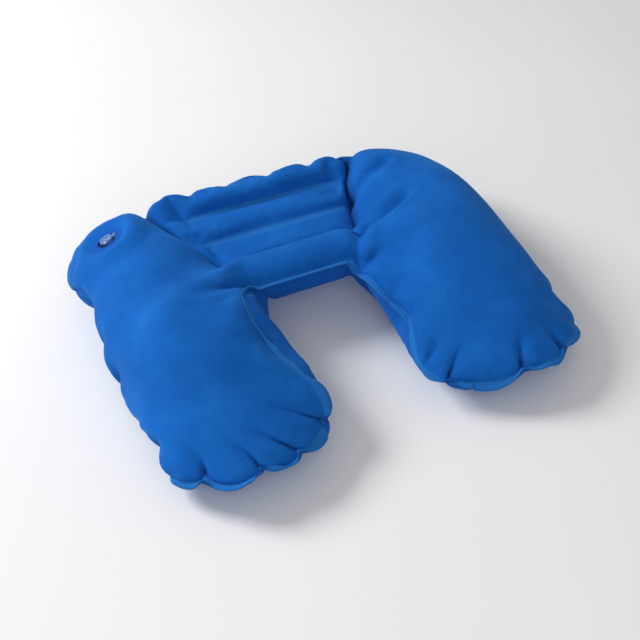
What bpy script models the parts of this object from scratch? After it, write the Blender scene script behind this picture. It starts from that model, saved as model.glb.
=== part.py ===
"""Camp pillow: a U-shaped air pillow made of two flocked sheets welded round their edge.

Three long welds quilt the neck section into four tubes. The left arm holds a push-in mouth
valve, whose stem rises for blowing up, whose plug swings open on a tether and whose flap
keeps the air in. Metres, +Z up, the arms pointing along -Y, standing on z = 0.
"""

import math

import bmesh
import bpy
import numpy as np
from mathutils import Matrix, Vector

GAP = 0.0003  # left between pieces that touch or are welded together

# Sheets, as they lie flat
ARM_WIDTH = 0.135
ARM_LENGTH = 0.160  # from the neck section's front edge to the arm's end
NECK_DEPTH = 0.130
OPENING_WIDTH = 0.090
OUTER_CORNER = 0.055
INNER_CORNER = 0.042
SHEET = 0.0006
EDGE_WELD = 0.004
TUBES = 4
TUBE_WELD = 0.004
TUBE_WELD_LENGTH = 0.110

# Inflated shape
ARM_RISE = 0.045
TUBE_RISE = 0.014
JUNCTION = 0.036  # length over which the tubes swell into the arms
ARM_FULLNESS = 2.5
END_FULLNESS = 5.0
ARCH_ANGLE = math.radians(14)
ARCH_START = 0.030
ARCH_END = 0.098
FLOOR_FLAT = 0.003  # how far each arm's belly is pressed flat by the floor

# Valve, along its own axis from the sheet's outer face
VALVE_FROM_SIDE = 0.044
VALVE_FROM_REAR = 0.046
VALVE_SINK = 0.007
VALVE_LEAN_OUT = math.radians(9)
VALVE_LEAN_BACK = math.radians(15)
SEAT_MARGIN = 0.0015
DIMPLE_SLOPE = 0.013
VALVE_WELD = 0.0053
VALVE_FLANGE = 0.0008
BORE_RADIUS = 0.0030
STEM_WALL = 0.0015
STEM_TOP = 0.0012
STEM_BOTTOM = -0.0132
COLLAR_OVERHANG = 0.0011
COLLAR_HEIGHT = 0.0019
FOLD_ROOM = 0.0029  # ring between the stem and the skirt that folds round it
SKIRT_WALL = 0.0005
SKIRT_RISE = 0.0006  # from the skirt's floor down to the stem's bottom
PLUG_CLEARANCE = 0.0004
PLUG_TAPER = 0.0004
PLUG_LENGTH = 0.0035
CAP_THICKNESS = 0.0012
TETHER_LENGTH = 0.0034
TETHER_WIDTH = 0.0030
TETHER_THICKNESS = 0.0006
FLAP_THICKNESS = 0.0005
FLAP_OVERLAP = 0.0011  # past the bore's wall

# Mesh fineness
ARM_CELLS = 12
END_CELLS = 6
TUBE_CELLS = 4
OPENING_CELLS = 6
TURN_STEPS = 24

WIDTH = 2 * ARM_WIDTH + OPENING_WIDTH
DEPTH = ARM_LENGTH + NECK_DEPTH
NECK_FRONT = DEPTH / 2 - NECK_DEPTH
TUBE_WIDTH = (NECK_DEPTH - 2 * EDGE_WELD - (TUBES - 1) * TUBE_WELD) / TUBES
TUBE_PITCH = TUBE_WIDTH + TUBE_WELD
STEM_RADIUS = BORE_RADIUS + STEM_WALL
COLLAR_RADIUS = STEM_RADIUS + COLLAR_OVERHANG
SKIRT_RADIUS = STEM_RADIUS + FOLD_ROOM + SKIRT_WALL
PORT_RADIUS = SKIRT_RADIUS + GAP
VALVE_RADIUS = PORT_RADIUS + VALVE_WELD
HINGE_REACH = COLLAR_RADIUS + TETHER_LENGTH
VALVE_X = VALVE_FROM_SIDE - WIDTH / 2
VALVE_Y = DEPTH / 2 - VALVE_FROM_REAR

for old in list(bpy.data.objects):
    bpy.data.objects.remove(old)


def collection(name):
    made = bpy.data.collections.new(name)
    bpy.context.scene.collection.children.link(made)
    return made


PILLOW = collection("camp_pillow")
CUTTERS = collection("cutters")


def material(name, colour, roughness, alpha=1.0):
    made = bpy.data.materials.new(name)
    made.use_nodes = True
    shader = made.node_tree.nodes["Principled BSDF"]
    shader.inputs["Base Color"].default_value = (*colour, 1)
    shader.inputs["Roughness"].default_value = roughness
    shader.inputs["Metallic"].default_value = 0
    shader.inputs["Alpha"].default_value = alpha
    return made


FLOCK_TOP = material("top_flock", (0.012, 0.125, 0.50), 0.95)
FLOCK_BOTTOM = material("bottom_flock", (0.010, 0.105, 0.44), 0.95)


def clear_vinyl(name):
    return material(name + "_vinyl", (0.80, 0.86, 0.92), 0.18, alpha=0.5)


# The sheets


def smooth(t):
    t = min(max(t, 0), 1)
    return t * t * (3 - 2 * t)


def dome(t, power):
    """1 in the middle of a chamber (t = 0) and 0 on its welds (t = -1 and 1)."""
    return math.sqrt(max(0, 1 - abs(t) ** power))


def tube_rise(y):
    """Half thickness of the quilted tubes, which run along X."""
    offset = y - NECK_FRONT - EDGE_WELD
    across = offset % TUBE_PITCH
    if offset < 0 or across > TUBE_WIDTH:
        return 0
    return TUBE_RISE * dome(2 * across / TUBE_WIDTH - 1, 2)


def arm_rise(x, y):
    across = (abs(x) - (OPENING_WIDTH + ARM_WIDTH) / 2) / (ARM_WIDTH / 2 - EDGE_WELD)
    along = y / (DEPTH / 2 - EDGE_WELD)
    return ARM_RISE * dome(across, ARM_FULLNESS) * dome(along, END_FULLNESS)


def rise(x, y):
    """Half thickness of the inflated pillow over a point of the flat pattern."""
    beyond = max(abs(x) - TUBE_WELD_LENGTH / 2, NECK_FRONT - y)
    share = smooth(beyond / JUNCTION)
    return share * arm_rise(x, y) + (1 - share) * tube_rise(y)


def rounded(x, y, centre_x, centre_y, radius):
    """Moves a point of a square corner, given by its arc's centre, onto the round one."""
    u = abs(x - centre_x) / radius
    v = abs(y - centre_y) / radius
    return (
        centre_x + (x - centre_x) * math.sqrt(1 - min(v, 1) ** 2 / 2),
        centre_y + (y - centre_y) * math.sqrt(1 - min(u, 1) ** 2 / 2),
    )


def plan(x, y):
    """A point of the square-cornered pattern, on the pattern with its corners rounded."""
    outer = WIDTH / 2 - OUTER_CORNER
    inner = OPENING_WIDTH / 2 + INNER_CORNER
    end = DEPTH / 2 - OUTER_CORNER
    inner_end = DEPTH / 2 - INNER_CORNER
    side = abs(x)
    if side > outer and abs(y) > end:
        side, y = rounded(side, y, outer, math.copysign(end, y), OUTER_CORNER)
    elif side < inner and y < -inner_end:
        side, y = rounded(side, y, inner, -inner_end, INNER_CORNER)
    return math.copysign(side, x), y


def arched(x, y, height):
    """Bends the flat pillow over the neck, so that its arms slope down to their outer sides.
    height is measured from the sheets' meeting plane, square to it."""
    radius = (ARCH_END - ARCH_START) / ARCH_ANGLE
    angle = min(max((abs(x) - ARCH_START) / radius, 0), ARCH_ANGLE)
    slope = max(abs(x) - ARCH_END, 0)
    out = min(abs(x), ARCH_START) + (radius + height) * math.sin(angle)
    out += slope * math.cos(angle)
    up = (radius + height) * math.cos(angle) - radius - slope * math.sin(angle)
    return Vector((math.copysign(out, x), y, up))


def spaced(low, high, cells):
    """Lines between two welds, closer together near each of them."""
    turns = np.linspace(0, math.pi, cells + 1)
    return (low + high) / 2 - (high - low) / 2 * np.cos(turns)


def grid_columns():
    seat = VALVE_RADIUS + SEAT_MARGIN
    outer, inner = -WIDTH / 2, -OPENING_WIDTH / 2
    arm = spaced(outer + EDGE_WELD, inner - EDGE_WELD, ARM_CELLS)
    arm = arm[abs(arm - VALVE_X) > seat * 1.2]
    arm = np.concatenate([[outer], arm, VALVE_X + seat * np.linspace(-1, 1, 5), [inner]])
    middle = np.linspace(inner, -inner, OPENING_CELLS + 1)[1:-1]
    return np.sort(np.concatenate([arm, middle, -arm]))


def grid_rows():
    front = -DEPTH / 2
    end = spaced(front + EDGE_WELD, 2 * NECK_FRONT - front - EDGE_WELD, 2 * END_CELLS)
    rows = [[front], end[: END_CELLS + 1], [NECK_FRONT + EDGE_WELD]]
    for tube in range(TUBES):
        low = NECK_FRONT + EDGE_WELD + tube * TUBE_PITCH
        rows.append(spaced(low, low + TUBE_WIDTH, TUBE_CELLS))
    rows.append([DEPTH / 2])
    return np.unique(np.round(np.concatenate(rows), 6))


COLUMNS = grid_columns()
ROWS = grid_rows()


def seat_turn():
    """The valve seat's rotation on the flat pattern."""
    out = Matrix.Rotation(-VALVE_LEAN_OUT, 4, "Y")
    return out @ Matrix.Rotation(-VALVE_LEAN_BACK, 4, "X")


def seat_height():
    return rise(VALVE_X, VALVE_Y) + GAP / 2 + SHEET - VALVE_SINK


def dimpled(x, y, height):
    """Presses the top sheet down to the valve's flat seat, and slopes it back up round that."""
    normal = seat_turn() @ Vector((0, 0, 1))
    half = VALVE_RADIUS + SEAT_MARGIN
    low = ROWS[ROWS <= VALVE_Y - half].max()
    high = ROWS[ROWS >= VALVE_Y + half].min()
    past_x = max(abs(x - VALVE_X) - half, 0)
    past_y = max(low - y, y - high, 0)
    share = 1 - smooth(math.hypot(past_x, past_y) / DIMPLE_SLOPE)
    drop = (normal.x * (x - VALVE_X) + normal.y * (y - VALVE_Y)) / normal.z
    return height + share * (seat_height() - drop - height)


def sheet_points(side):
    """The outer face's points for side 1 (top) or -1 (bottom), by column and row."""
    points = {}
    for column, x in enumerate(COLUMNS):
        for row, y in enumerate(ROWS):
            height = rise(x, y) + GAP / 2 + SHEET
            if side > 0:
                height = dimpled(x, y, height)
            points[column, row] = arched(*plan(x, y), side * height)
    return points


LOWEST = min(point.z for point in sheet_points(-1).values())
LIFT = -LOWEST - FLOOR_FLAT


def sheet(name, side, flock):
    """One sheet: a grid over the pattern, shaped as it lies inflated, and given its thickness."""
    form = bmesh.new()
    across, along = len(COLUMNS) - 1, len(ROWS) - 1
    bmesh.ops.create_grid(form, x_segments=across, y_segments=along, size=0.5)
    hole = []
    for face in form.faces:
        centre = face.calc_center_median()
        x = np.interp((centre.x + 0.5) * across, range(across + 1), COLUMNS)
        y = np.interp((centre.y + 0.5) * along, range(along + 1), ROWS)
        if abs(x) < OPENING_WIDTH / 2 and y < NECK_FRONT:
            hole.append(face)
    bmesh.ops.delete(form, geom=hole, context="FACES")
    points = sheet_points(side)
    for vertex in form.verts:
        column = round((vertex.co.x + 0.5) * across)
        row = round((vertex.co.y + 0.5) * along)
        vertex.co = points[column, row]
        vertex.co.z = max(vertex.co.z + LIFT, 0)
    if side < 0:
        bmesh.ops.reverse_faces(form, faces=form.faces)
    made = piece(name, form, flock)
    thicken = made.modifiers.new("Thickness", "SOLIDIFY")
    thicken.thickness = SHEET
    thicken.offset = -1
    return made


def piece(name, form, look, parent=None, at=(0, 0, 0)):
    """An object from a bmesh whose points are measured from the parent's own origin plus at."""
    mesh = bpy.data.meshes.new(name)
    form.to_mesh(mesh)
    form.free()
    mesh.shade_smooth()
    mesh.set_sharp_from_angle(angle=math.radians(40))
    mesh.materials.append(look)
    made = bpy.data.objects.new(name, mesh)
    PILLOW.objects.link(made)
    made.parent = parent
    made.location = at
    return made


# The valve


def seat_frame():
    """Places the valve's frame: its origin on the sheet's outer face and Z out of the seat."""
    origin = arched(VALVE_X, VALVE_Y, seat_height()) + Vector((0, 0, LIFT))
    arch = Matrix.Rotation(-ARCH_ANGLE, 4, "Y")
    return Matrix.Translation(origin) @ arch @ seat_turn()


def empty(name, parent, at):
    made = bpy.data.objects.new(name, None)
    made.empty_display_size = 0.01
    PILLOW.objects.link(made)
    made.parent = parent
    made.location = at
    return made


def turned(name, profile, look, parent, at=(0, 0, 0)):
    """A turned piece. A profile that starts on the axis also ends there; others close up."""
    form = bmesh.new()
    corners = [form.verts.new((radius, 0, height)) for radius, height in profile]
    pairs = list(zip(corners, corners[1:]))
    if profile[0][0] > 0:
        pairs.append((corners[-1], corners[0]))
    for pair in pairs:
        form.edges.new(pair)
    made = piece(name, form, look, parent, at)
    turn = made.modifiers.new("Turn", "SCREW")
    turn.angle = 2 * math.pi
    turn.steps = turn.render_steps = TURN_STEPS
    turn.use_merge_vertices = True
    turn.merge_threshold = 1e-6
    return made


def block(name, low, high, look, parent, at=(0, 0, 0)):
    form = bmesh.new()
    bmesh.ops.create_cube(form, size=1)
    low, high = Vector(low), Vector(high)
    bmesh.ops.scale(form, vec=high - low, verts=form.verts)
    bmesh.ops.translate(form, vec=(low + high) / 2, verts=form.verts)
    return piece(name, form, look, parent, at)


def hide_cutter(made):
    PILLOW.objects.unlink(made)
    CUTTERS.objects.link(made)
    made.hide_render = True
    made.display_type = "WIRE"


def combine(target, other, operation):
    boolean = target.modifiers.new(operation.title(), "BOOLEAN")
    boolean.operation = operation
    boolean.object = other
    hide_cutter(other)


def cut_port(top, seat):
    """The hole in the top sheet that the stem comes out of."""
    form = bmesh.new()
    bmesh.ops.create_cone(
        form,
        cap_ends=True,
        segments=TURN_STEPS,
        radius1=PORT_RADIUS,
        radius2=PORT_RADIUS,
        depth=20 * SHEET,
    )
    combine(top, piece("port_cutter", form, FLOCK_TOP, seat), "DIFFERENCE")


def fixed_valve_pieces(seat):
    """The flange welded under the sheet, and the thin skirt that folds in with the stem."""
    flange_top = -SHEET - GAP
    flange_bottom = flange_top - VALVE_FLANGE
    ring = [
        (VALVE_RADIUS, flange_top),
        (VALVE_RADIUS, flange_bottom),
        (PORT_RADIUS, flange_bottom),
        (PORT_RADIUS, flange_top),
    ]
    turned("valve_flange", ring, clear_vinyl("valve_flange"), seat)
    floor = STEM_BOTTOM + SKIRT_RISE
    hole = STEM_RADIUS + GAP
    cup = [
        (SKIRT_RADIUS, flange_top),
        (SKIRT_RADIUS, floor),
        (hole, floor),
        (hole, floor + SKIRT_WALL),
        (SKIRT_RADIUS - SKIRT_WALL, floor + SKIRT_WALL),
        (SKIRT_RADIUS - SKIRT_WALL, flange_top),
    ]
    turned("valve_skirt", cup, clear_vinyl("valve_skirt"), seat)


def stem(axis):
    """The mouth tube, with the collar the cap shuts on and the lug its tether bends at."""
    under = STEM_TOP - COLLAR_HEIGHT
    tube = [
        (COLLAR_RADIUS, STEM_TOP),
        (COLLAR_RADIUS, under),
        (STEM_RADIUS, under),
        (STEM_RADIUS, STEM_BOTTOM),
        (BORE_RADIUS, STEM_BOTTOM),
        (BORE_RADIUS, STEM_TOP),
    ]
    look = clear_vinyl("valve_stem")
    made = turned("valve_stem", tube, look, axis)
    half = TETHER_WIDTH / 2
    low = (STEM_RADIUS, -half, GAP)  # over the sheet round the port
    lug = block("lug", low, (HINGE_REACH, half, STEM_TOP - 1e-5), look, axis)
    combine(made, lug, "UNION")


def plug(axis):
    """The cap with its plug, and the tether that carries both round the hinge."""
    seat = STEM_TOP + GAP
    centre = Vector((HINGE_REACH, 0, STEM_TOP + GAP / 2))
    hinge = empty("plug_hinge", axis, centre)
    radius = BORE_RADIUS - PLUG_CLEARANCE
    profile = [
        (0, seat + CAP_THICKNESS),
        (COLLAR_RADIUS, seat + CAP_THICKNESS),
        (COLLAR_RADIUS, seat),
        (radius, seat),
        (radius - PLUG_TAPER, seat - PLUG_LENGTH),
        (0, seat - PLUG_LENGTH),
    ]
    turned("valve_plug", profile, clear_vinyl("valve_plug"), hinge, -centre)
    half = TETHER_WIDTH / 2
    low = (COLLAR_RADIUS + GAP, -half, seat)
    high = (HINGE_REACH - GAP, half, seat + TETHER_THICKNESS)
    block("plug_tether", low, high, clear_vinyl("plug_tether"), hinge, -centre)


def flap(axis):
    """The disc that the air inside presses shut against the stem's bottom end."""
    radius = BORE_RADIUS + FLAP_OVERLAP
    centre = Vector((-radius - GAP, 0, STEM_BOTTOM - GAP / 2))
    hinge = empty("flap_hinge", axis, centre)
    top = STEM_BOTTOM - GAP
    profile = [(0, top), (radius, top), (radius, top - FLAP_THICKNESS), (0, top - FLAP_THICKNESS)]
    turned("check_flap", profile, clear_vinyl("check_flap"), hinge, -centre)


def main():
    top = sheet("top_panel", 1, FLOCK_TOP)
    sheet("bottom_panel", -1, FLOCK_BOTTOM)
    seat = empty("valve_seat", None, (0, 0, 0))
    seat.matrix_world = seat_frame()
    cut_port(top, seat)
    fixed_valve_pieces(seat)
    axis = empty("stem_axis", seat, (0, 0, 0))
    stem(axis)
    plug(axis)
    flap(axis)


main()
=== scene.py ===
import math

import bmesh
import bpy
import numpy as np
from mathutils import Matrix, Vector, geometry, noise


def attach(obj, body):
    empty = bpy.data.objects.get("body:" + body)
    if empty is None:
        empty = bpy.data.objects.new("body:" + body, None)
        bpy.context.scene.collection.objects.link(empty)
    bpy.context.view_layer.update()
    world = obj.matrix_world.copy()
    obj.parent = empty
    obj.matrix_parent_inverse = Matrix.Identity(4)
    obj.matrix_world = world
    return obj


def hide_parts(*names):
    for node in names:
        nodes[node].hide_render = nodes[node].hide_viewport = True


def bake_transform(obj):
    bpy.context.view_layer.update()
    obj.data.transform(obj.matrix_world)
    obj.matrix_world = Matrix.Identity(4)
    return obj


# Inflatable U-shaped camp pillow. Two flocked vinyl sheets are welded together round their
# edge and along three short lines across the neck section, and blown up through a clear
# valve sunk in the left shoulder.

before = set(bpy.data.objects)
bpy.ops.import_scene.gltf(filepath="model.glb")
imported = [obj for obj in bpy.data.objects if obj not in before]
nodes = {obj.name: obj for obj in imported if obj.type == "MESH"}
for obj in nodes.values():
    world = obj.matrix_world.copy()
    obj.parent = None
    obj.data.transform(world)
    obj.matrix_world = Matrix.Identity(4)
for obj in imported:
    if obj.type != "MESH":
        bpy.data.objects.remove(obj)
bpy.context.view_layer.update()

# ---------------------------------------------------------------- sizes, in metres
STEP = 0.0050  # spacing of the cloth's threads in the cutting pattern
HALF_WIDTH = 0.215  # of the sheet as it is cut, before air pulls it in
HALF_DEPTH = 0.163
NECK_FRONT = -0.018
HALF_OPENING = 0.042
ARM_SPLAY = 0.045
SHOULDER_CUT = 0.030
ARM_OUTER_CUT = 0.040
ARM_INNER_CUT = 0.027
SIDE_BELLY = 0.014
FRONT_BELLY = 0.012
REAR_BELLY = 0.010
EDGE_WELD = 0.0050
TUBE_WELDS = ((0.050, 0.060), (0.088, 0.068), (0.127, 0.072))  # place and half length of each
TUBE_WELD_WIDTH = 0.0050
SHEET = 0.0006
FILLED_WIDTH = 0.3620  # across the arms once it is full, before it is arched

ARCH_ANGLE = 0.233
ARCH_START = 0.030
ARCH_END = 0.098
LEFT_SWING = 0.004  # how far each arm is turned outward at the shoulder
RIGHT_SWING = -0.018
LEFT_STRETCH = 1.046  # how long each arm is for its cut
RIGHT_STRETCH = 0.959
NECK_DROP = 0.0155  # how far the neck section sags below the arms
NECK_TILT = 0.098
LEAN = -0.0194

# Cracks in the top sheet, pinched shut where the neck section meets each arm.
CRACKS = (
    ((0.117, 0.170), (0.108, 0.154), (0.092, 0.123), (0.081, 0.093), (0.073, 0.062)),
    ((-0.120, 0.162), (-0.108, 0.128), (-0.098, 0.098), (-0.086, 0.070), (-0.068, 0.040)),
)
CRACK_WIDTH = 0.0080
CRACK_DEPTH = 0.85  # share of the sheet's height that is pressed away
CRACK_PINCH = 0.5
CRACK_REACH = 0.014
# Shallow folds beside them: a line over the pattern, how deep and how wide.
FOLDS = (
    (((0.082, 0.090), (0.100, 0.100), (0.122, 0.108)), 0.0050, 0.0050),
    (((0.066, 0.032), (0.090, 0.037), (0.114, 0.047)), 0.0060, 0.0050),
    (((0.047, -0.014), (0.057, 0.012), (0.068, 0.038)), 0.0060, 0.0050),
)
# Pleats gathered into the edge weld: where they are across the arms' fronts and down their sides.
FRONT_PLEATS = (-0.236, -0.194, -0.154, -0.112, 0.113, 0.178, 0.228)
SIDE_PLEATS = (0.128, 0.042, 0.002, -0.082)
PLEAT_LENGTH = 0.038
PLEAT_WIDTH = 0.0076
PLEAT_PINCH = 0.62
PINCH_REACH = 0.012
TOP_PLEAT_DEPTH = 1.22  # share of the sheet's height, more than all of it as the finer mesh softens it
BOTTOM_PLEAT_DEPTH = 0.5
FLANGE_LIFT = 0.0030  # the flange is folded up where it meets a pleat
SCALLOP = 0.0060  # how far a pleat draws the edge in
SWELL = 0.0045  # how far the skin bulges out over the weld between two pleats
PUCKER_SPACING = 0.041
# How far each arm's inner and outer seams are rolled up.
LEFT_ROLL = (math.radians(44), math.radians(20))
RIGHT_ROLL = (math.radians(12), math.radians(6))
NECK_ROLL = math.radians(26)

# The valve's seat: its middle on the sheet, and its axes (across, back, out of the sheet).
SEAT = Vector((-0.142177, 0.099, 0.071539))
SEAT_ACROSS = Vector((0.920505, 0.0, 0.390731))
SEAT_BACK = Vector((0.101129, 0.965926, -0.238244))
SEAT_OUT = Vector((-0.377417, 0.258819, 0.889139))
PORT_RADIUS = 0.0082
PORT_IN_PATTERN = Vector((-0.166, 0.118))
SEAT_FLAT = 0.0142  # how far out the seat is flat, and how high the rim of its dimple stands
RIM_OUT = 0.0220
RIM_HEIGHT = 0.0048


def smooth(x, low, high):
    """Zero up to the low value, one from the high value on, and an even slope between."""
    t = np.clip((x - low) / (high - low), 0, 1)
    return t * t * (3 - 2 * t)


# ---------------------------------------------------------------- cutting pattern
def rounded(corners, steps=8):
    """The outline with an arc of each corner's radius."""
    outline = []
    count = len(corners)
    for i, (x, y, radius) in enumerate(corners):
        here = Vector((x, y))
        before = (Vector(corners[i - 1][:2]) - here).normalized()
        after = (Vector(corners[(i + 1) % count][:2]) - here).normalized()
        turn = before.angle(after)
        start = here + before * (radius / math.tan(turn / 2))
        end = here + after * (radius / math.tan(turn / 2))
        middle = here + (before + after).normalized() * (radius / math.sin(turn / 2))
        first = math.atan2(start.y - middle.y, start.x - middle.x)
        last = math.atan2(end.y - middle.y, end.x - middle.x)
        sweep = (last - first + math.pi) % (2 * math.pi) - math.pi
        for k in range(steps + 1):
            angle = first + sweep * k / steps
            outline.append((middle.x + radius * math.cos(angle), middle.y + radius * math.sin(angle)))
    return outline


def evenly(outline, step):
    """The same closed line with its points a step apart."""
    loop = np.array(outline + [outline[0]])
    along = np.r_[0, np.cumsum(np.linalg.norm(np.diff(loop, axis=0), axis=1))]
    at = np.linspace(0, along[-1], int(round(along[-1] / step)), endpoint=False)
    return np.stack([np.interp(at, along, loop[:, 0]), np.interp(at, along, loop[:, 1])], 1)


def moved_out(loop, distance):
    """The closed line moved outward."""
    ahead = np.roll(loop, -1, 0) - np.roll(loop, 1, 0)
    ahead /= np.linalg.norm(ahead, axis=1)[:, None]
    return loop + distance * np.stack([ahead[:, 1], -ahead[:, 0]], 1)


def inside(points, loop):
    """Which points lie inside a closed line."""
    x, y = points[:, 0], points[:, 1]
    found = np.zeros(len(points), bool)
    for (x0, y0), (x1, y1) in zip(loop, np.roll(loop, -1, 0)):
        if y0 != y1:
            found ^= ((y0 > y) != (y1 > y)) & (x < (x1 - x0) * (y - y0) / (y1 - y0) + x0)
    return found


def nearest(points, loop):
    """Each point's distance from the nearest point of a line."""
    return np.array([np.hypot(loop[:, 0] - x, loop[:, 1] - y).min() for x, y in points])


def ring(middle, radius, step):
    """Points round a circle, about a step apart."""
    count = max(12, int(round(2 * math.pi * radius / step)))
    turns = np.arange(count) * 2 * math.pi / count
    return np.stack([middle.x + radius * np.cos(turns), middle.y + radius * np.sin(turns)], 1)


def seam_line():
    """The line along which the two sheets are welded, from the rear left round the left arm."""
    rear, outer, inner = SHOULDER_CUT, ARM_OUTER_CUT, ARM_INNER_CUT
    tip = HALF_WIDTH + ARM_SPLAY
    crotch = HALF_OPENING + ARM_SPLAY
    left = [
        (-HALF_WIDTH + rear, HALF_DEPTH, 0.9 * rear),
        (-HALF_WIDTH, HALF_DEPTH - rear, 0.9 * rear),
        (-HALF_WIDTH - 0.5 * ARM_SPLAY - SIDE_BELLY, 0.0, 0.4),
        (-tip, -HALF_DEPTH + 1.1 * outer, 0.9 * outer),
        (-tip + outer, -HALF_DEPTH + 0.002, 0.9 * outer),
        (-(tip + crotch) / 2, -HALF_DEPTH - FRONT_BELLY, 0.10),
        (-crotch - 0.8 * inner, -HALF_DEPTH + 0.002, 0.7 * inner),
        (-crotch, -HALF_DEPTH + 0.8 * inner, 0.7 * inner),
        (-HALF_OPENING, NECK_FRONT, 0.014),
    ]
    right = [(-x, y, radius) for x, y, radius in reversed(left)]
    return evenly(rounded(left + right + [(0.0, HALF_DEPTH + REAR_BELLY, 0.5)]), STEP)


def tube_welds():
    """The short flat welds that part the neck section into tubes."""
    half = TUBE_WELD_WIDTH / 2
    welds = []
    for y, x in TUBE_WELDS:
        outline = [
            (-x, y - half),
            (x, y - half),
            (x + half, y),
            (x, y + half),
            (-x, y + half),
            (-x - half, y),
        ]
        welds.append(evenly(outline, STEP * 0.9))
    return welds


def cut_pattern():
    """Both sheets as cut and laid flat, one on the other, joined where they are welded."""
    seam = seam_line()
    edge = moved_out(seam, EDGE_WELD)
    welds = tube_welds()
    shared = [edge, seam] + welds
    grow = 2 * HALF_WIDTH / FILLED_WIDTH
    port = ring(PORT_IN_PATTERN, PORT_RADIUS * grow, 0.0026)
    rings = [port]
    rings += [ring(PORT_IN_PATTERN, r * grow, 0.0036) for r in (0.0107, 0.0135, 0.0166)]
    rings += [ring(PORT_IN_PATTERN, r * grow, 0.0045) for r in (0.0203, 0.0245)]
    core = [ring(PORT_IN_PATTERN, 0.0042 * grow, 0.003), np.array([tuple(PORT_IN_PATTERN)])]

    rows = []
    y = -HALF_DEPTH - 0.03
    odd = 0
    while y < HALF_DEPTH + 0.03:
        x = np.arange(-0.32 + odd * STEP / 2, 0.32, STEP)
        rows.append(np.stack([x, np.full_like(x, y)], 1))
        y += STEP * math.sqrt(3) / 2
        odd = 1 - odd
    threads = np.concatenate(rows)
    threads = threads[inside(threads, seam)]
    threads = threads[nearest(threads, np.concatenate(shared)) > STEP * 0.62]
    away = np.hypot(threads[:, 0] - PORT_IN_PATTERN.x, threads[:, 1] - PORT_IN_PATTERN.y)
    threads = threads[away > 0.0245 * grow + STEP * 0.6]

    loops = shared + [port]
    links = []
    first = 0
    for loop in loops:
        links += [(first + i, first + (i + 1) % len(loop)) for i in range(len(loop))]
        first += len(loop)
    flat = np.concatenate(loops + rings[1:] + core + [threads])
    joined = sum(len(loop) for loop in shared)
    made = geometry.delaunay_2d_cdt([Vector(p) for p in flat], links, [], 1, 1e-6)
    assert len(made[0]) == len(flat), "the pattern's lines cross"
    faces = np.array([tuple(face) for face in made[2]])
    a, b, c = (flat[faces[:, k]] for k in range(3))
    turned = np.cross(b - a, c - a) < 0
    faces[turned] = faces[turned][:, ::-1]
    middles = flat[faces].mean(1)
    full = inside(middles, seam)
    for weld in welds:
        full &= ~inside(middles, weld)
    hole = inside(middles, port)

    below = np.arange(len(flat))
    below[joined:] = len(flat) + np.arange(len(flat) - joined)
    from_weld = nearest(flat, np.concatenate([seam] + welds))
    from_weld[:joined] = 0

    def both(values):
        """The values of the top sheet's points, then those of the bottom sheet's."""
        return np.concatenate([values, values[joined:]])

    return {
        "flat": both(flat),
        "from_weld": both(from_weld),
        "above": len(flat),
        "joined": joined,
        "edge": len(edge),
        "seam": len(seam),
        "top": faces[full],
        "bottom": below[faces[full]][:, ::-1],
        "weld": faces[~full],
        "seam_line": seam,
        "port": hole[full],
        "port_loop": np.arange(joined, joined + len(port)),
        "area": float(np.abs(np.cross(b - a, c - a)).sum() / 2),
    }


# ---------------------------------------------------------------- blowing it up
def blown_up(pattern):
    """The pattern's points once air has filled the space between the welds."""
    flat = pattern["flat"]
    count = len(flat)
    start = np.zeros((count, 3))
    start[:, :2] = flat
    gap = np.minimum(pattern["from_weld"] * 0.05, 0.001)
    start[: pattern["above"], 2] = gap[: pattern["above"]]
    start[pattern["above"] :, 2] = -gap[pattern["above"] :]
    for i in range(count):
        start[i, 2] += noise.noise(Vector((start[i, 0], start[i, 1], 0.0)) * 60.0) * 0.0003
    faces = np.concatenate([pattern["top"], pattern["bottom"], pattern["weld"]])
    mesh = bpy.data.meshes.new("pattern")
    mesh.from_pydata(start.tolist(), [], faces.tolist())
    cloth = bpy.data.objects.new("pattern", mesh)
    bpy.context.scene.collection.objects.link(cloth)
    air = cloth.vertex_groups.new(name="air")
    air.add([int(i) for i in range(pattern["edge"], count)], 1.0, "REPLACE")
    modifier = cloth.modifiers.new("cloth", "CLOTH")
    settings = modifier.settings
    settings.quality = 10
    settings.mass = 0.3
    settings.tension_stiffness = 200
    settings.compression_stiffness = 20
    settings.shear_stiffness = 20
    settings.bending_stiffness = 1.5
    settings.tension_damping = 15
    settings.compression_damping = 15
    settings.shear_damping = 15
    settings.bending_damping = 1
    settings.air_damping = 6
    settings.use_pressure = True
    settings.uniform_pressure_force = 50
    settings.vertex_group_pressure = "air"
    settings.effector_weights.gravity = 0
    modifier.collision_settings.use_collision = False
    modifier.collision_settings.use_self_collision = False
    frames = 60
    modifier.point_cache.frame_end = frames
    for number in range(1, frames + 1):
        bpy.context.scene.frame_set(number)
    filled = cloth.evaluated_get(bpy.context.evaluated_depsgraph_get())
    settled = filled.to_mesh()
    points = np.empty(count * 3, np.float32)
    settled.vertices.foreach_get("co", points)
    filled.to_mesh_clear()
    bpy.data.objects.remove(cloth)
    bpy.data.meshes.remove(mesh)
    bpy.context.scene.frame_set(1)
    return points.reshape(-1, 3).astype(float)


def out_of_sheet(points, faces):
    """Each point's direction square to the faces round it."""
    a, b, c = (points[faces[:, k]] for k in range(3))
    square = np.cross(b - a, c - a)
    total = np.zeros_like(points)
    for k in range(3):
        np.add.at(total, faces[:, k], square)
    return total / np.maximum(np.linalg.norm(total, axis=1), 1e-12)[:, None]


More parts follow.
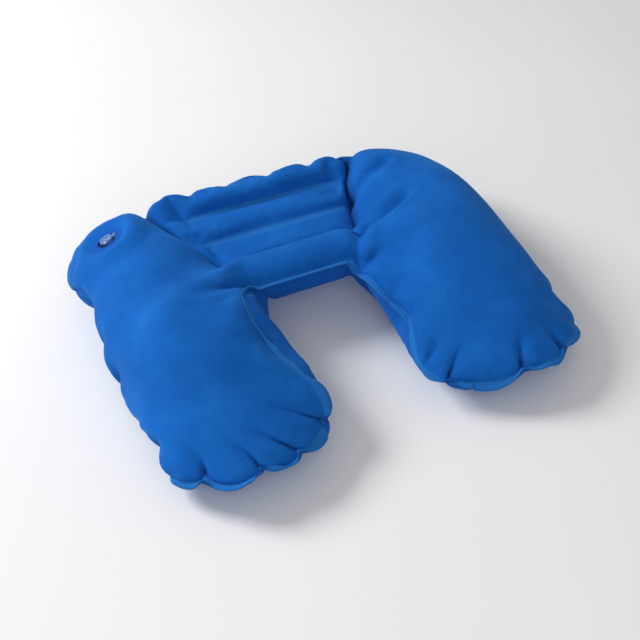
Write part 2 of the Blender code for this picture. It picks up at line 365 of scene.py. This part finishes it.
def from_line(flat, line):
    """Each point's way from the nearest point of a line of several straight parts."""
    way = np.ones((len(flat), 2))
    for a, b in zip(np.array(line), np.array(line)[1:]):
        along = np.clip((flat - a) @ (b - a) / ((b - a) @ (b - a)), 0, 1)
        part = flat - a - along[:, None] * (b - a)
        nearer = np.linalg.norm(part, axis=1) < np.linalg.norm(way, axis=1)
        way[nearer] = part[nearer]
    return way


def calmed(points, pattern):
    """Eases the small wrinkles in the middle of the arms, where the skin is drawn smooth."""
    share = 0.8 * smooth(pattern["from_weld"], 0.016, 0.040)[:, None]
    faces = np.concatenate([pattern["top"], pattern["bottom"]])
    rounds = int(0.09 / STEP)
    for _ in range(rounds):
        total = np.zeros_like(points)
        count = np.zeros((len(points), 1))
        for k in range(3):
            np.add.at(total, faces[:, k], points[faces[:, k - 1]] + points[faces[:, k - 2]])
            np.add.at(count, faces[:, k], 2)
        points += (total / np.maximum(count, 1) - points) * share * (count > 0)
    points[:, 2] *= 1 + 0.06 * share[:, 0]
    return points


def creased(points, pattern):
    """Presses in the cracks and folds beside the neck section.

    It also says how deep in a crack each point is, for the painted shade in the cracks.
    """
    up = out_of_sheet(points, pattern["top"])
    free = smooth(pattern["from_weld"], 0.0, 0.004)
    free[: pattern["joined"]] = 0
    free[pattern["above"] :] = 0
    press = np.zeros(len(points))
    for line, depth, width in FOLDS:
        away = np.linalg.norm(from_line(pattern["flat"], line), axis=1) / width
        press += depth * (np.exp(-(away**2)) - 0.28 * np.exp(-((away - 2.4) ** 2)))
    points -= up * (press * free)[:, None]
    crack_shade = np.zeros(len(points))
    for line in CRACKS:
        way = from_line(pattern["flat"], line)
        away = np.linalg.norm(way, axis=1)
        share = free * np.exp(-((away / CRACK_WIDTH) ** 1.4))
        crack_shade = np.maximum(crack_shade, share)
        points[:, 2] *= 1 - CRACK_DEPTH * share
        drawn = CRACK_PINCH * free * np.exp(-((away / CRACK_REACH) ** 2))
        points[:, :2] -= way * drawn[:, None]
    return points, crack_shade


def gathers(seam, begin):
    """Place along the seam and size of every pleat, and of the puckers where there is none."""
    found = []
    for x in FRONT_PLEATS:
        front = np.where(seam[:, 1] < -0.12)[0]
        found.append((begin[front[np.abs(seam[front, 0] - x).argmin()]], 1.0))
    for y in SIDE_PLEATS:
        for side in (-1, 1):
            outer = np.where(seam[:, 0] * side > 0.19)[0]
            found.append((begin[outer[np.abs(seam[outer, 1] - y).argmin()]], 0.85))
    number = int(begin[-1] / PUCKER_SPACING)
    for k in range(number):
        shift = 0.45 * noise.noise(Vector((k * 1.7, 3.1, 0.0)))
        place = (k + 0.5 + shift) * begin[-1] / number
        size = 0.34 + 0.25 * noise.noise(Vector((k * 0.9, 5.5, 0.0)))
        if min(abs(place - other) for other, _ in found) > 0.6 * PUCKER_SPACING:
            found.append((place, size))
    return found


def pleated(points, pattern):
    """Gathers both sheets into pleats at the edge weld, with the skin swelling between them.

    It also says how deep in a pleat each point is, for the painted shade in the pleats.
    """
    flat = pattern["flat"]
    seam = pattern["seam_line"]
    ahead = np.roll(seam, -1, 0) - seam
    stride = np.linalg.norm(ahead, axis=1)
    begin = np.r_[0, np.cumsum(stride)[:-1]]
    close = np.array([np.hypot(seam[:, 0] - x, seam[:, 1] - y).argmin() for x, y in flat])
    along = begin[close] + ((flat - seam[close]) * ahead[close]).sum(1) / stride[close]
    away = np.hypot(*(flat - seam[close]).T)
    length = stride.sum()
    on_seam = points[pattern["edge"] : pattern["edge"] + pattern["seam"]]
    run = np.roll(on_seam, -2, 0) - np.roll(on_seam, 2, 0)
    run = (run / np.linalg.norm(run, axis=1)[:, None])[close]
    inward = np.stack([-run[:, 1], run[:, 0], np.zeros(len(run))], 1)
    flattened = np.zeros(len(points))
    drawn = np.zeros(len(points))
    pinched = np.zeros(len(points))
    for k, (place, size) in enumerate(gathers(seam, begin)):
        lean = 0.25 * noise.noise(Vector((k * 2.3, 9.7, 0.0)))
        offset = (along - place - lean * away + length / 2) % length - length / 2
        width = PLEAT_WIDTH * (1.15 - 0.6 * np.minimum(away / PLEAT_LENGTH, 1))
        taper = 1 - smooth(away, 0.3 * PLEAT_LENGTH, (0.5 + 0.5 * size) * PLEAT_LENGTH)
        flattened = np.maximum(flattened, size * np.exp(-(np.abs(offset / width) ** 1.3)) * taper)
        drawn += size * np.exp(-np.abs(offset) / 0.011) * (1 - smooth(away, 0.0, 0.026))
        pinched -= size * offset * np.exp(-((offset / PINCH_REACH) ** 2)) * taper
    over = smooth(away, 0.0005, 0.0070) * (1 - smooth(away, 0.010, 0.036))
    at_rear = smooth(seam[close, 1], 0.110, 0.145)
    at_front = smooth(-seam[close, 1], 0.100, 0.140)
    at_neck = 1 - smooth(np.abs(seam[close, 0]), 0.095, 0.120)
    swell = SWELL * over * np.maximum(1 - 1.4 * drawn, 0)
    drawn = SCALLOP * drawn * (1 - 0.45 * at_front) - swell
    drawn *= (1 - 0.85 * at_rear) * (1 - 0.5 * at_neck)
    flattened *= 1 - 0.5 * at_rear
    is_top = np.arange(len(points)) < pattern["above"]
    points[:, 2] *= 1 - np.where(is_top, TOP_PLEAT_DEPTH, BOTTOM_PLEAT_DEPTH) * flattened
    flange = slice(0, pattern["edge"])
    skin = slice(pattern["edge"], None)
    points[flange, 2] += FLANGE_LIFT * flattened[flange]
    points += inward * drawn[:, None]
    points[skin] += run[skin] * (PLEAT_PINCH * pinched[skin])[:, None]
    return points, flattened * smooth(away, 0.0, 0.004)


def turned(across, up, angle):
    """A point of a cross section turned about the section's middle."""
    reach = np.hypot(across, up)
    angle = np.arctan2(up, across) + angle
    return reach * np.cos(angle), reach * np.sin(angle)


def rolled(points, pattern):
    """Rolls each arm in its own skin, so that the inner seam comes up and the outer one goes down."""
    rest = points.copy()
    stations = np.arange(-0.170, 0.171, 0.005)
    for side, (inner, outer) in ((-1, LEFT_ROLL), (1, RIGHT_ROLL)):
        arm = np.where(rest[:, 0] * side > 0.012)[0]
        low, high, tall = [], [], []
        for y in stations:
            near = arm[np.abs(rest[arm, 1] - y) < 0.006]
            near = near[near >= pattern["edge"]]
            x = rest[near, 0] * side if len(near) else np.array([0.08, 0.10])
            low.append(x.min())
            high.append(x.max())
            tall.append(np.abs(rest[near, 2]).max() if len(near) else 0.003)
        kernel = np.ones(5) / 5
        low, high, tall = (
            np.convolve(np.pad(values, 2, "edge"), kernel, "valid") for values in (low, high, tall)
        )
        y = rest[arm, 1]
        middle = np.interp(y, stations, (low + high) / 2)
        half = np.interp(y, stations, (high - low) / 2)
        rise = np.maximum(np.interp(y, stations, tall), 0.004)
        share = smooth(y, -0.165, -0.065) * (1 - smooth(y, -0.015, 0.070))
        across = -(rest[arm, 0] * side - middle) / half
        up = rest[arm, 2] / rise
        towards = np.cos(np.arctan2(up, across))
        angle = share * ((inner + outer) / 2 + (inner - outer) / 2 * towards)
        across, up = turned(across, up, angle)
        points[arm, 0] = side * (middle - across * half)
        points[arm, 2] = up * rise
    return points


def neck_rolled(points, pattern):
    """Draws the front tube straight and round between the arms, with its seam rolled up a little."""
    flat = pattern["flat"]
    rear_weld = TUBE_WELDS[0][0]
    depth = rear_weld - NECK_FRONT
    front_edge = NECK_FRONT - EDGE_WELD
    tube = np.where((flat[:, 1] < rear_weld + 0.003) & (flat[:, 1] > front_edge - 0.001))[0]
    tube = tube[np.abs(flat[tube, 0]) < 0.075]
    on_weld = tube[(np.abs(flat[tube, 1] - rear_weld) < 0.003) & (np.abs(flat[tube, 0]) < 0.04)]
    weld_y, weld_z = points[on_weld, 1].mean(), points[on_weld, 2].mean()
    radius = depth * FILLED_WIDTH / (2 * HALF_WIDTH) / math.pi
    down_the_tube = (rear_weld - flat[tube, 1]) / depth
    is_bottom = tube >= pattern["above"]
    angle = np.clip(down_the_tube, 0, 1) * (math.pi + np.where(is_bottom, NECK_ROLL, -NECK_ROLL))
    y = weld_y - radius * (1 - np.cos(angle))
    z = weld_z + radius * np.sin(angle) * np.where(is_bottom, -1, 1)
    past = np.maximum(down_the_tube - 1, 0) * depth
    y -= past * math.cos(NECK_ROLL)
    z += past * math.sin(NECK_ROLL)
    share = 1 - smooth(np.abs(flat[tube, 0]), 0.034, 0.066)
    points[tube, 1] += (y - points[tube, 1]) * share
    points[tube, 2] += (z - points[tube, 2]) * share
    return points


def turned_out(points):
    """Turns and stretches each arm a little at its shoulder, and lets the neck section dip."""
    forward = 0.012 * np.logaddexp(0, -points[:, 1] / 0.012)
    arm = smooth(np.abs(points[:, 0]), 0.02, 0.06)
    left = points[:, 0] < 0
    swing = np.where(left, LEFT_SWING, RIGHT_SWING)
    stretch = np.where(left, LEFT_STRETCH, RIGHT_STRETCH)
    points[:, 0] += np.tan(swing) * forward * arm * np.sign(points[:, 0])
    points[:, 1] -= (stretch - 1) * forward * arm
    points[:, 2] += np.exp(-((points[:, 0] / 0.10) ** 4)) * (NECK_TILT * points[:, 1] - NECK_DROP)
    return points


def arched(points):
    """Bends the pillow over the neck, so that its arms slope down to their outer sides."""
    radius = (ARCH_END - ARCH_START) / ARCH_ANGLE
    side = np.abs(points[:, 0])
    height = points[:, 2]
    angle = np.clip((side - ARCH_START) / radius, 0, ARCH_ANGLE)
    slope = np.maximum(side - ARCH_END, 0)
    out = np.minimum(side, ARCH_START) + (radius + height) * np.sin(angle) + slope * np.cos(angle)
    up = (radius + height) * np.cos(angle) - radius - slope * np.sin(angle)
    return np.stack([np.copysign(out, points[:, 0]) + LEAN * points[:, 1], points[:, 1], up], 1)


def set_down(points):
    """Rests it on the floor, with its lowest parts pressed flat."""
    soft = 0.0016
    height = points[:, 2] - points[:, 2].min() - 0.0045
    points[:, 2] = soft * np.logaddexp(0, height / soft)
    points[:, 2] -= points[:, 2].min()
    return points


def seated(points, pattern, shrink):
    """Draws the top sheet in round the valve, so that it is flat on the valve's welded rim."""
    above = slice(pattern["joined"], pattern["above"])
    spot = pattern["flat"][above] - np.array(PORT_IN_PATTERN)
    across, back = spot[:, 0] * shrink, spot[:, 1] * shrink
    reach = np.hypot(across, back)
    rim = RIM_HEIGHT * smooth(reach, SEAT_FLAT, RIM_OUT)
    goal = np.array(SEAT) + across[:, None] * np.array(SEAT_ACROSS)
    goal += back[:, None] * np.array(SEAT_BACK)
    goal += rim[:, None] * np.array(SEAT_OUT)
    share = 1 - smooth(reach, 0.0165, 0.046)
    points[above] += (goal - points[above]) * share[:, None]
    return points


# ---------------------------------------------------------------- pieces
def mark(mesh, name, values):
    """Keeps a value at each of the mesh's points, for the finishes to read."""
    layer = mesh.attributes.new(name, "FLOAT", "POINT")
    layer.data.foreach_set("value", values.astype(np.float32))


def sheet_piece(name, points, faces, pattern, has_port):
    """One sheet, from its faces in the pattern."""
    mesh = bpy.data.meshes.new(name)
    mesh.from_pydata(points.tolist(), [], faces.tolist())
    flat = pattern["flat"]
    uv = mesh.uv_layers.new(name="cut")
    corners = np.empty(len(mesh.loops), np.int32)
    mesh.loops.foreach_get("vertex_index", corners)
    uv.data.foreach_set("uv", (flat[corners] / 0.5 + 0.5).astype(np.float32).ravel())
    from_port = np.linalg.norm(flat - np.array(PORT_IN_PATTERN), axis=1)
    mark(mesh, "from_weld", pattern["from_weld"])
    mark(mesh, "from_port", from_port if has_port else np.ones(len(flat)))
    mark(mesh, "painted_crease_shade", pattern["painted_crease_shade"])
    bm = bmesh.new()
    bm.from_mesh(mesh)
    crease = bm.edges.layers.float.get("crease_edge") or bm.edges.layers.float.new("crease_edge")
    seam = range(pattern["edge"], pattern["edge"] + pattern["seam"])
    bm.verts.ensure_lookup_table()
    for edge in bm.edges:
        a, b = sorted(v.index for v in edge.verts)
        if a in seam and b in seam and b - a in (1, len(seam) - 1):
            edge[crease] = 0.6
    bmesh.ops.delete(bm, geom=[v for v in bm.verts if not v.link_faces], context="VERTS")
    bm.to_mesh(mesh)
    bm.free()
    mesh.shade_smooth()
    piece = bpy.data.objects.new(name, mesh)
    bpy.context.scene.collection.objects.link(piece)
    finer = piece.modifiers.new("finer", "SUBSURF")
    finer.levels = finer.render_levels = 1
    wall = piece.modifiers.new("thickness", "SOLIDIFY")
    wall.thickness = SHEET
    wall.offset = 1.0
    return piece


pattern = cut_pattern()
filled = blown_up(pattern)
width = filled[:, 0].max() - filled[:, 0].min()
scale = FILLED_WIDTH / width
filled *= scale
filled[:, :2] -= (filled[:, :2].max(0) + filled[:, :2].min(0)) / 2
shaped, crack_shade = creased(calmed(filled, pattern), pattern)
shaped, pleat_shade = pleated(shaped, pattern)
# How deep in a crack or pleat each point is, which the finishes darken as painted shade.
pattern["painted_crease_shade"] = np.maximum(crack_shade, pleat_shade)
shaped = neck_rolled(rolled(shaped, pattern), pattern)
shaped = set_down(arched(turned_out(shaped)))
shaped = seated(shaped, pattern, scale)

top_faces = np.concatenate([pattern["top"][~pattern["port"]], pattern["weld"]])
bottom_faces = np.concatenate([pattern["bottom"], pattern["weld"][:, ::-1]])
top_sheet = sheet_piece("top_sheet", shaped, top_faces, pattern, has_port=True)
bottom_sheet = sheet_piece("bottom_sheet", shaped, bottom_faces, pattern, has_port=False)


# ---------------------------------------------------------------- the clear valve
def finished(bm, name, edge_round):
    """Rounds the edges, moves the piece from the valve's own axes to its seat and shows it."""
    bmesh.ops.remove_doubles(bm, verts=bm.verts, dist=0.00002)
    bmesh.ops.recalc_face_normals(bm, faces=bm.faces)
    sharp = [e for e in bm.edges if len(e.link_faces) == 2 and e.calc_face_angle() > 0.6]
    bmesh.ops.bevel(
        bm, geom=sharp, offset=edge_round, affect="EDGES", segments=2, profile=0.5, material=-1
    )
    seat = Matrix.Identity(4)
    for column, axis in enumerate((SEAT_ACROSS, SEAT_BACK, SEAT_OUT, SEAT)):
        for row in range(3):
            seat[row][column] = axis[row]
    bmesh.ops.transform(bm, matrix=seat, verts=bm.verts)
    bmesh.ops.recalc_face_normals(bm, faces=bm.faces)
    mesh = bpy.data.meshes.new(name)
    bm.to_mesh(mesh)
    bm.free()
    mesh.shade_smooth()
    piece = bpy.data.objects.new(name, mesh)
    bpy.context.scene.collection.objects.link(piece)
    return piece


def spun(name, profile, edge_round=0.00015, closed=True):
    """A turned piece from its half section, given as distance from the valve's axis and height."""
    bm = bmesh.new()
    line = [bm.verts.new((radius, 0.0, height)) for radius, height in profile]
    edges = [bm.edges.new(pair) for pair in zip(line, line[1:])]
    if closed:
        edges.append(bm.edges.new((line[-1], line[0])))
    bmesh.ops.spin(
        bm,
        geom=line + edges,
        cent=(0, 0, 0),
        axis=(0, 0, 1),
        angle=2 * math.pi,
        steps=40,
        use_merge=True,
        use_duplicate=False,
    )
    return finished(bm, name, edge_round)


def block(name, low, high):
    """A plain block between two opposite corners."""
    bm = bmesh.new()
    middle = (Vector(low) + Vector(high)) / 2
    size = Vector(high) - Vector(low)
    matrix = Matrix.Translation(middle) @ Matrix.Diagonal((*size, 1.0))
    bmesh.ops.create_cube(bm, size=1.0, matrix=matrix)
    return finished(bm, name, 0.0002)


# A thin skirt with two soft ridges round it, built fixed here; on the real valve it folds as the stem
# is pushed in.
valve_bellows = spun(
    "valve_bellows",
    (
        (0.0079, -0.0010),
        (0.0079, -0.0038),
        (0.0076, -0.0048),
        (0.0079, -0.0058),
        (0.0079, -0.0078),
        (0.0076, -0.0088),
        (0.0079, -0.0098),
        (0.0079, -0.0126),
        (0.0047, -0.0126),
        (0.0047, -0.0121),
        (0.0074, -0.0121),
        (0.0074, -0.0098),
        (0.0071, -0.0088),
        (0.0074, -0.0078),
        (0.0074, -0.0058),
        (0.0071, -0.0048),
        (0.0074, -0.0038),
        (0.0074, -0.0010),
    ),
    0.00008,
)
valve_mouth = spun(
    "valve_mouth",
    (
        (0.0030, -0.0132),
        (0.0045, -0.0132),
        (0.0045, -0.0011),
        (0.0056, -0.0003),
        (0.0056, 0.0012),
        (0.0036, 0.0012),
        (0.0030, 0.0007),
    ),
)
mouth_lug = block("mouth_lug", (0.0052, -0.0015, 0.0003), (0.0090, 0.0015, 0.0012))
stopper = spun(
    "stopper",
    (
        (0.0, -0.0020),
        (0.0018, -0.0020),
        (0.0022, -0.0016),
        (0.0026, 0.0012),
        (0.0026, 0.0015),
        (0.0056, 0.0015),
        (0.0056, 0.0023),
        (0.0049, 0.0027),
        (0.0040, 0.0027),
        (0.0034, 0.0023),
        (0.0, 0.0022),
    ),
    closed=False,
)
stopper_strap = block("stopper_strap", (0.0054, -0.0015, 0.00155), (0.0087, 0.0015, 0.0021))

# ---------------------------------------------------------------- finishes
class Finish:
    """A material and short ways to add its nodes."""

    def __init__(self, name):
        self.material = bpy.data.materials.new(name)
        self.material.use_nodes = True
        self.tree = self.material.node_tree
        self.shader = self.tree.nodes["Principled BSDF"]

    def node(self, kind, **values):
        node = self.tree.nodes.new(kind)
        for name, value in values.items():
            setattr(node, name, value)
        return node

    def link(self, out, into):
        self.tree.links.new(out, into)

    def grain(self, scale, detail=2.0, roughness=0.5):
        """Even random grain through the piece."""
        place = self.node("ShaderNodeTexCoord")
        pattern = self.node("ShaderNodeTexNoise")
        pattern.inputs["Scale"].default_value = scale
        pattern.inputs["Detail"].default_value = detail
        pattern.inputs["Roughness"].default_value = roughness
        self.link(place.outputs["Object"], pattern.inputs["Vector"])
        return pattern.outputs["Fac"]

    def marked(self, name):
        """The value kept under this name at each point of the piece."""
        return self.node("ShaderNodeAttribute", attribute_name=name).outputs["Fac"]

    def ramp(self, value, *stops):
        ramp = self.node("ShaderNodeValToRGB")
        points = ramp.color_ramp.elements
        while len(points) < len(stops):
            points.new(0.5)
        for point, (at, colour) in zip(points, stops):
            point.position = at
            point.color = (*colour, 1.0)
        self.link(value, ramp.inputs["Fac"])
        return ramp.outputs["Color"]

    def span(self, value, low, high, new_low, new_high):
        change = self.node("ShaderNodeMapRange")
        names = ("From Min", "From Max", "To Min", "To Max")
        for name, number in zip(names, (low, high, new_low, new_high)):
            change.inputs[name].default_value = number
        self.link(value, change.inputs["Value"])
        return change.outputs["Result"]

    def mix(self, share, first, second, how="MIX"):
        blend = self.node("ShaderNodeMix", data_type="RGBA", blend_type=how)
        for index, value in ((0, share), (6, first), (7, second)):
            socket = blend.inputs[index]
            if isinstance(value, (int, float)):
                socket.default_value = value
            elif isinstance(value, tuple):
                socket.default_value = (*value, 1.0)
            else:
                self.link(value, socket)
        return blend.outputs[2]

    def bump(self, height, depth, strength=1.0, after=None):
        bump = self.node("ShaderNodeBump")
        bump.inputs["Strength"].default_value = strength
        bump.inputs["Distance"].default_value = depth
        self.link(height, bump.inputs["Height"])
        if after:
            self.link(after, bump.inputs["Normal"])
        return bump.outputs["Normal"]


def flocked(name, deep, main, light):
    """Short velvety flock on vinyl: clumped fibres, brushed patches, lighter where pressed flat at the
    welds (partly a painted highlight), with painted shade in the creases and, partly, round the valve.
    """
    finish = Finish(name)
    shader = finish.shader
    brushed = finish.grain(26.0, 3.0, 0.55)
    clumps = finish.grain(420.0, 3.0, 0.6)
    fibres = finish.grain(2300.0, 2.0, 0.6)
    colour = finish.ramp(brushed, (0.36, deep), (0.52, main), (0.70, light))
    white = (1.0, 1.0, 1.0)
    specks = finish.ramp(clumps, (0.30, (0.80, 0.84, 0.90)), (0.55, white), (0.72, white))
    colour = finish.mix(1.0, colour, specks, "MULTIPLY")
    # Lighter within 1.6 mm of the welds: partly the flattened flock's own tone, partly a painted
    # highlight along the tubes' edges and the flange.
    pressed = finish.span(finish.marked("from_weld"), 0.0, 0.0016, 0.42, 0.0)
    colour = finish.mix(pressed, colour, (0.030, 0.210, 0.560))
    # Darker over the valve's welded flange: partly the pressed flock's own tone, partly painted shade
    # in the valve's dimple.
    flange_and_dimple_shade = finish.span(finish.marked("from_port"), 0.0150, 0.0180, 0.75, 0.0)
    colour = finish.mix(flange_and_dimple_shade, colour, (0.006, 0.075, 0.400))
    # Painted shade: the flock darkens deep in the cracks and pleats, where shade falls.
    crease_shade_share = finish.span(finish.marked("painted_crease_shade"), 0.25, 0.70, 0.0, 0.85)
    colour = finish.mix(crease_shade_share, colour, (0.002, 0.030, 0.170))
    finish.link(colour, shader.inputs["Base Color"])
    finish.link(finish.span(clumps, 0.3, 0.7, 0.78, 0.96), shader.inputs["Roughness"])
    shader.inputs["Specular IOR Level"].default_value = 0.12
    shader.inputs["Sheen Weight"].default_value = 0.18
    shader.inputs["Sheen Roughness"].default_value = 0.45
    shader.inputs["Sheen Tint"].default_value = (0.10, 0.48, 1.0, 1.0)
    nap = finish.bump(fibres, 0.00025, 0.5)
    nap = finish.bump(clumps, 0.0005, 0.45, nap)
    finish.link(nap, shader.inputs["Normal"])
    return finish.material


def clear_vinyl(name, tint, haze):
    """Soft clear vinyl with a faint cloudiness and moulding ripple, its blue partly painted to stand
    for the flock seen through it.
    """
    finish = Finish(name)
    shader = finish.shader
    cloud = finish.grain(240.0, 2.0)
    colour = finish.ramp(cloud, (0.35, tint), (0.65, (0.34, 0.60, 1.0)))
    finish.link(colour, shader.inputs["Base Color"])
    finish.link(finish.span(cloud, 0.3, 0.7, haze, haze + 0.12), shader.inputs["Roughness"])
    shader.inputs["Transmission Weight"].default_value = 0.70
    shader.inputs["IOR"].default_value = 1.5
    shader.inputs["Coat Weight"].default_value = 0.4
    shader.inputs["Coat Roughness"].default_value = 0.08
    finish.link(finish.bump(finish.grain(900.0, 1.0), 0.0001, 0.3), shader.inputs["Normal"])
    return finish.material


def dress(piece, material):
    """Gives the whole piece one material."""
    if piece.material_slots:
        for slot in piece.material_slots:
            slot.material = material
    else:
        piece.data.materials.append(material)


top_flock = flocked(
    "top_flock_velvet", (0.0040, 0.110, 0.450), (0.0050, 0.125, 0.500), (0.0080, 0.148, 0.545)
)
# The bottom sheet has the same flock as the top, made a little darker: painted shade for the
# underside.
bottom_flock = flocked(
    "bottom_flock_velvet_shaded", (0.0040, 0.098, 0.425), (0.0050, 0.112, 0.470), (0.0075, 0.132, 0.515)
)
# The valve's blue is partly the vinyl's faint tint, partly painted blue that stands in for the flock
# seen through the clear vinyl.
valve_vinyl = clear_vinyl("valve_vinyl", (0.16, 0.42, 0.94), 0.05)
dress(top_sheet, top_flock)
dress(bottom_sheet, bottom_flock)
for name in ("valve_flange", "check_flap"):
    dress(nodes[name], valve_vinyl)
for piece in (valve_bellows, valve_mouth, mouth_lug, stopper, stopper_strap):
    dress(piece, valve_vinyl)


# ---------------------------------------------------------------- riding on the frame
for piece, node, slot in (
    (top_sheet, "top_panel", "top_flock"),
    (bottom_sheet, "bottom_panel", "bottom_flock"),
):
    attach(piece, "pillow")
    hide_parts(node)

for piece, body, node, slot in (
    (valve_mouth, "stem", "valve_stem", "valve_stem_vinyl"),
    (stopper, "plug", "valve_plug", "valve_plug_vinyl"),
    (stopper_strap, "plug", "plug_tether", "plug_tether_vinyl"),
):
    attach(piece, body)
    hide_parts(node)
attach(mouth_lug, "stem")
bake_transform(valve_bellows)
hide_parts("valve_skirt")


# ---------------------------------------------------------------- floor, light and camera
MIDDLE = Vector((0.0, 0.0, 0.030))


def floor():
    """A plain pale floor with a faint paper tone."""
    bm = bmesh.new()
    bmesh.ops.create_grid(bm, x_segments=2, y_segments=2, size=4.0)
    mesh = bpy.data.meshes.new("floor")
    bm.to_mesh(mesh)
    bm.free()
    piece = bpy.data.objects.new("floor", mesh)
    bpy.context.scene.collection.objects.link(piece)
    finish = Finish("floor_paper")
    tone = finish.ramp(finish.grain(3.0), (0.3, (0.90, 0.90, 0.90)), (0.7, (0.93, 0.93, 0.93)))
    finish.link(tone, finish.shader.inputs["Base Color"])
    finish.shader.inputs["Roughness"].default_value = 0.9
    finish.shader.inputs["Specular IOR Level"].default_value = 0.1
    dress(piece, finish.material)


def lamp(name, place, aim, size, power):
    """A round soft lamp turned to what it lights."""
    light = bpy.data.lights.new(name, "AREA")
    light.shape = "DISK"
    light.size = size
    light.energy = power
    piece = bpy.data.objects.new(name, light)
    piece.location = place
    piece.rotation_euler = (Vector(place) - Vector(aim)).to_track_quat("Z", "Y").to_euler()
    bpy.context.scene.collection.objects.link(piece)


def camera():
    """Looks down on the pillow from its left front."""
    turn, rise = math.radians(-24.9), math.radians(42.5)
    back = Vector((math.sin(turn) * math.cos(rise), -math.cos(turn) * math.cos(rise), math.sin(rise)))
    lens = bpy.data.cameras.new("camera")
    lens.lens = 76.8
    lens.shift_x = -0.0061
    lens.shift_y = -0.0223
    piece = bpy.data.objects.new("camera", lens)
    piece.location = MIDDLE + back * 1.0809
    piece.rotation_euler = back.to_track_quat("Z", "Y").to_euler()
    bpy.context.scene.collection.objects.link(piece)
    bpy.context.scene.camera = piece


def sky():
    """Even white light from all round."""
    world = bpy.data.worlds.new("studio")
    bpy.context.scene.world = world
    world.use_nodes = True
    glow = world.node_tree.nodes["Background"]
    glow.inputs["Color"].default_value = (1.0, 1.0, 1.0, 1.0)
    glow.inputs["Strength"].default_value = 0.38


floor()
sky()
lamp("key", (-1.0, 0.8, 1.0), MIDDLE, 0.7, 20.0)
lamp("fill", (-0.5, -1.2, 1.0), MIDDLE, 1.2, 5.0)
camera()
bpy.context.scene.view_settings.view_transform = "Standard"

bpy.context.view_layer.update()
